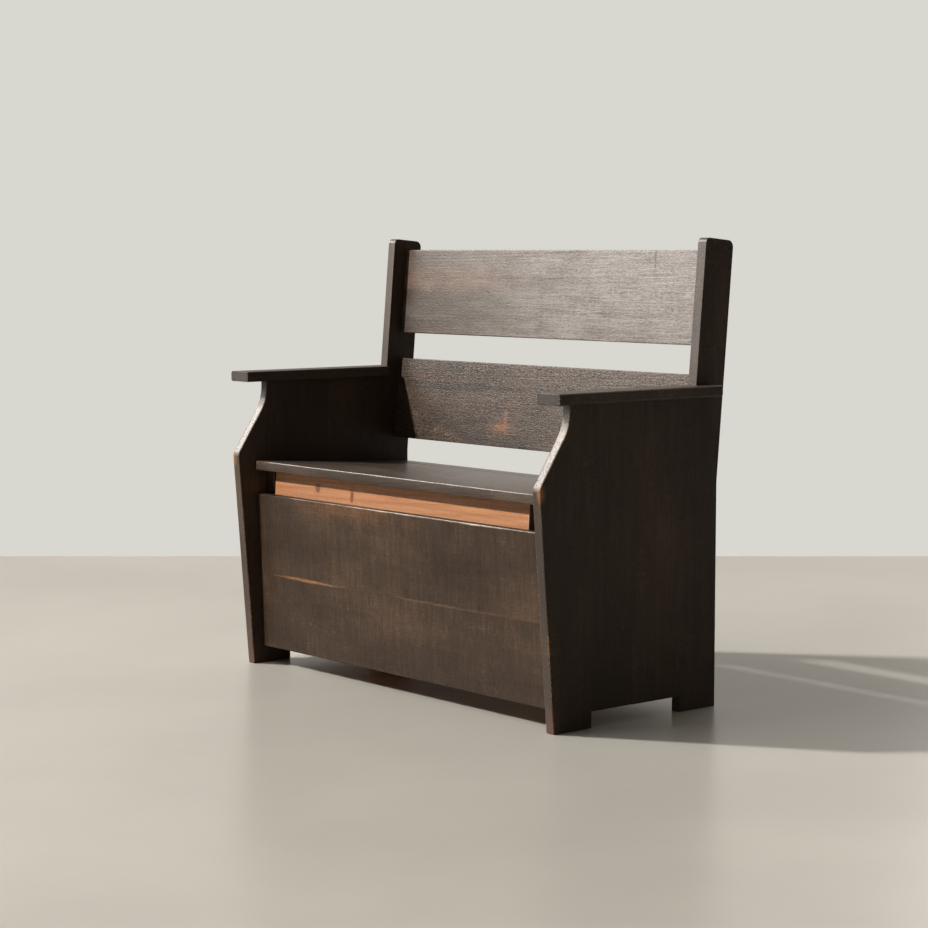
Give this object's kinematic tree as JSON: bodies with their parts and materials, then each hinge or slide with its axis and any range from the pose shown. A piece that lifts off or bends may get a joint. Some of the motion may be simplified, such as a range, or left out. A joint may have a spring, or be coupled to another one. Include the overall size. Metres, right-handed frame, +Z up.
{
  "type": "deacons bench",
  "caption": "Deacons bench of dark stained boards: plank ends, flat arms, a slatted leaning back and a lift-up seat over a storage chest.",
  "frame": {"origin": "middle of the bench's box, on the floor", "axes": "+X along the bench to the right as seen from the front, +Y from front to back, +Z up"},
  "size_m": [1.064, 0.5114, 0.9322],
  "materials": {
    "dark_pine": "rough-sawn pine with a dark espresso stain, worn pale along the arrises",
    "natural_pine": "unfinished knotty pine",
    "joint_beech": "plain dry hardwood, hidden in the joints",
    "hinge_steel": "blackened steel, satin",
    "screw_steel": "dull zinc-plated steel"
  },
  "bodies": {
    "frame": {"centre_hinge_pin": "screw_steel", "centre_hinge_rail_leaf": "hinge_steel", "chest_back_lower_board": "dark_pine", "chest_back_upper_board": "dark_pine", "chest_floor_board_1": "natural_pine", "chest_floor_board_2": "natural_pine", "chest_floor_board_3": "natural_pine", "floor_centre_bearer": "natural_pine", "front_panel_lower_board": "dark_pine", "front_panel_upper_board": "dark_pine", "hinge_rail_screws": "screw_steel", "left_arm": "dark_pine", "left_arm_dowels": "joint_beech", "left_end_front_board": "dark_pine", "left_end_rear_board": "dark_pine", "left_end_spline": "joint_beech", "left_floor_bearer": "natural_pine", "left_front_cleat": "dark_pine", "left_hinge_pin": "screw_steel", "left_hinge_rail_leaf": "hinge_steel", "left_rear_cleat": "dark_pine", "left_seat_bearer": "dark_pine", "lower_back_slat": "dark_pine", "right_arm": "dark_pine", "right_arm_dowels": "joint_beech", "right_end_front_board": "dark_pine", "right_end_rear_board": "dark_pine", "right_end_spline": "joint_beech", "right_floor_bearer": "natural_pine", "right_front_cleat": "dark_pine", "right_hinge_pin": "screw_steel", "right_hinge_rail_leaf": "hinge_steel", "right_rear_cleat": "dark_pine", "right_seat_bearer": "dark_pine", "seat_rear_rail": "dark_pine", "upper_back_slat": "dark_pine"},
    "lid": {"centre_hinge_lid_leaf": "hinge_steel", "hinge_lid_screws": "screw_steel", "left_hinge_lid_leaf": "hinge_steel", "left_lid_batten": "natural_pine", "lid_apron": "natural_pine", "lid_batten_screws": "screw_steel", "lid_front_board": "dark_pine", "lid_rear_board": "dark_pine", "right_hinge_lid_leaf": "hinge_steel", "right_lid_batten": "natural_pine"}
  },
  "joints": [
    {"name": "lid_hinge", "type": "hinge", "parent": "frame", "child": "lid", "pos_m": [0, 0.15256, 0.42505], "axis": [-1, 0, 0], "range_deg": [0, 94]}
  ]
}
